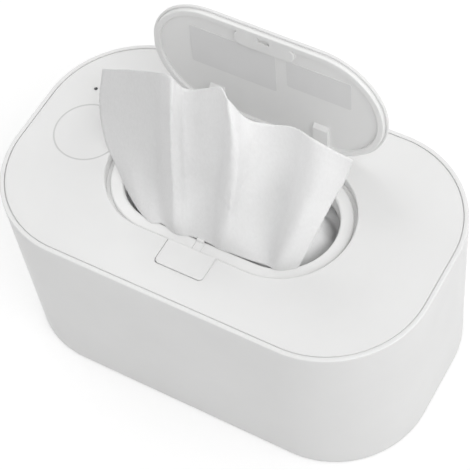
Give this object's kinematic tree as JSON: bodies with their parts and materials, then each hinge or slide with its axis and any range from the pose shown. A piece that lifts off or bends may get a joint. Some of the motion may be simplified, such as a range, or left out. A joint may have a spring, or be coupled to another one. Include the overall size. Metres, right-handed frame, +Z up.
{
  "type": "baby wipe warmer",
  "caption": "Oval baby wipe warmer with a rear-hinged top cover, a sprung flip lid over the dispensing opening, a push-button latch, a heated inner tub and a wipe pulled up",
  "frame": {"origin": "on the surface the feet stand on, under the middle of the body", "axes": "+X along the length, +Y to the rear (hinge side), +Z up"},
  "size_m": [0.23, 0.1384, 0.197],
  "materials": {
    "outer_shell": "satin",
    "bottom_cover": "matte",
    "rubber_feet": "matte",
    "base_screws": "satin",
    "inner_tub": "satin",
    "heating_plate": "satin",
    "heater_film": "satin",
    "insulation_pad": "matte",
    "thermistor": "gloss",
    "thermal_fuse": "satin",
    "control_board": "satin",
    "board_screws": "satin",
    "power_socket": "satin",
    "wipe_stack": "matte",
    "cover_hinge_pins": "satin",
    "top_panel": "satin",
    "cover_frame": "gloss",
    "cover_screws": "satin",
    "cover_seal": "matte",
    "touch_board": "satin",
    "indicator_window": "gloss",
    "lid_hinge_pins": "satin",
    "lid_springs": "satin",
    "button_springs": "satin",
    "latch_spring": "satin",
    "wipe_sheet": "matte",
    "flip_lid": "satin",
    "lid_liner": "satin",
    "latch_button": "satin",
    "latch_slider": "satin"
  },
  "bodies": {
    "base": {"outer_shell": "outer_shell", "bottom_cover": "bottom_cover", "rubber_feet": "rubber_feet", "base_screws": "base_screws", "inner_tub": "inner_tub", "heating_plate": "heating_plate", "heater_film": "heater_film", "insulation_pad": "insulation_pad", "thermistor": "thermistor", "thermal_fuse": "thermal_fuse", "control_board": "control_board", "board_screws": "board_screws", "power_socket": "power_socket", "wipe_stack": "wipe_stack", "cover_hinge_pins": "cover_hinge_pins"},
    "top_cover": {"top_panel": "top_panel", "cover_frame": "cover_frame", "cover_screws": "cover_screws", "cover_seal": "cover_seal", "touch_board": "touch_board", "indicator_window": "indicator_window", "lid_hinge_pins": "lid_hinge_pins", "lid_springs": "lid_springs", "button_springs": "button_springs", "latch_spring": "latch_spring", "wipe_sheet": "wipe_sheet"},
    "flip_lid": {"flip_lid": "flip_lid", "lid_liner": "lid_liner"},
    "latch_button": {"latch_button": "latch_button"},
    "latch_slider": {"latch_slider": "latch_slider"}
  },
  "joints": [
    {"name": "cover_hinge", "type": "hinge", "parent": "base", "child": "top_cover", "pos_m": [0, 0.0683, 0.104], "axis": [-1, 0, 0], "range_deg": [0, 95]},
    {"name": "lid_hinge", "type": "hinge", "parent": "top_cover", "child": "flip_lid", "pos_m": [0, 0.0395, 0.1008], "axis": [1, 0, 0], "range_deg": [0, 94], "stiffness_Nm_per_rad": 0.012, "springref_deg": -28.65, "deforming": ["wipe_sheet", "lid_springs"]},
    {"name": "button_press", "type": "slide", "parent": "top_cover", "child": "latch_button", "axis": [0, 0, -1], "range_m": [0, 0.001], "stiffness_N_per_m": 300, "springref_m": -0.002, "deforming": ["button_springs"]},
    {"name": "latch_slide", "type": "slide", "parent": "top_cover", "child": "latch_slider", "axis": [0, -1, 0], "range_m": [0, 0.001], "stiffness_N_per_m": 200, "springref_m": -0.001, "deforming": ["latch_spring"]}
  ],
  "couplings": [
    {"joint": "latch_slide", "follows": "button_press", "ratio": 1}
  ]
}
